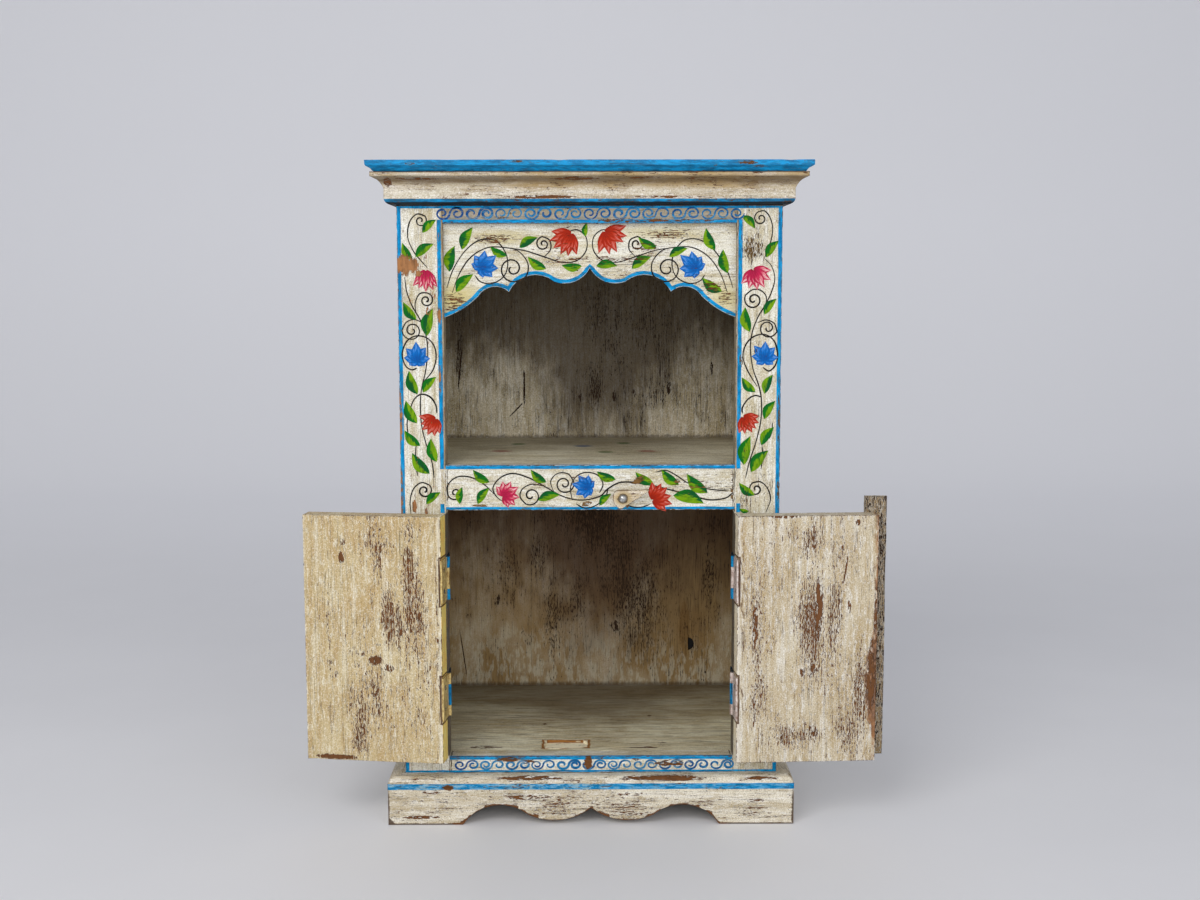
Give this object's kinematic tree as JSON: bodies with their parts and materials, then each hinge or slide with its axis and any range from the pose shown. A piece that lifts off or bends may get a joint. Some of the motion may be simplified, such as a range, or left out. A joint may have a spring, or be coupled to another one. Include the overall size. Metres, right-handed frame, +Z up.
{
  "type": "bedside pot cupboard",
  "caption": "Small painted wooden bedside cupboard with a cusped-arch niche above, two plank doors below on butt hinges, a turn button, a cove cornice and a scalloped plinth.",
  "frame": {"origin": "on the floor, at the middle of the plinth's footprint, which is the cabinet's left-right middle plane", "axes": "+Z up, +X to the viewer's right, +Y to the back; the face frame looks along -Y"},
  "size_m": [0.6482, 0.3406, 0.736],
  "materials": {
    "cream_paint": "matt distressed cream paint with painted flowers, worn to brown wood",
    "blue_paint": "satin bright blue paint, chipped along the edges",
    "bare_wood": "unpainted rough-sawn wood",
    "painted_iron": "cream and blue paint over iron",
    "steel": "dull steel"
  },
  "bodies": {
    "cabinet": {"top_board": "blue_paint", "cornice_front": "cream_paint", "cornice_left": "cream_paint", "cornice_right": "cream_paint", "stile_left": "cream_paint", "stile_right": "cream_paint", "top_rail": "cream_paint", "middle_rail": "cream_paint", "bottom_rail": "cream_paint", "arch_board": "cream_paint", "side_panel_left": "cream_paint", "side_panel_right": "cream_paint", "back_board_left": "cream_paint", "back_board_middle": "cream_paint", "back_board_right": "cream_paint", "back_nails": "steel", "middle_shelf": "cream_paint", "floor_board": "cream_paint", "top_cleats": "bare_wood", "shelf_cleats": "bare_wood", "floor_cleats": "bare_wood", "plinth_front": "cream_paint", "plinth_left": "cream_paint", "plinth_right": "cream_paint", "left_upper_frame_leaf": "painted_iron", "left_upper_pin": "steel", "left_lower_frame_leaf": "painted_iron", "left_lower_pin": "steel", "right_upper_frame_leaf": "painted_iron", "right_upper_pin": "steel", "right_lower_frame_leaf": "painted_iron", "right_lower_pin": "steel", "frame_hinge_screws": "steel", "turn_button_screw": "steel"},
    "left_door": {"left_door_hinge_plank": "cream_paint", "left_door_free_plank": "cream_paint", "left_upper_door_leaf": "painted_iron", "left_lower_door_leaf": "painted_iron", "left_door_hinge_screws": "steel"},
    "right_door": {"right_door_hinge_plank": "cream_paint", "right_door_free_plank": "cream_paint", "meeting_strip": "cream_paint", "strip_nails": "steel", "right_upper_door_leaf": "painted_iron", "right_lower_door_leaf": "painted_iron", "right_door_hinge_screws": "steel"},
    "turn_button": {"turn_button": "cream_paint"}
  },
  "joints": [
    {"name": "left_door_hinge", "type": "hinge", "parent": "cabinet", "child": "left_door", "pos_m": [-0.1588, -0.1505, 0.213], "axis": [0, 0, 1], "range_deg": [0, 188]},
    {"name": "right_door_hinge", "type": "hinge", "parent": "cabinet", "child": "right_door", "pos_m": [0.1588, -0.1505, 0.213], "axis": [0, 0, -1], "range_deg": [-5, 183]},
    {"name": "turn_button_pivot", "type": "hinge", "parent": "cabinet", "child": "turn_button", "pos_m": [0.036, -0.1521, 0.369], "axis": [0, -1, 0], "continuous": true}
  ]
}
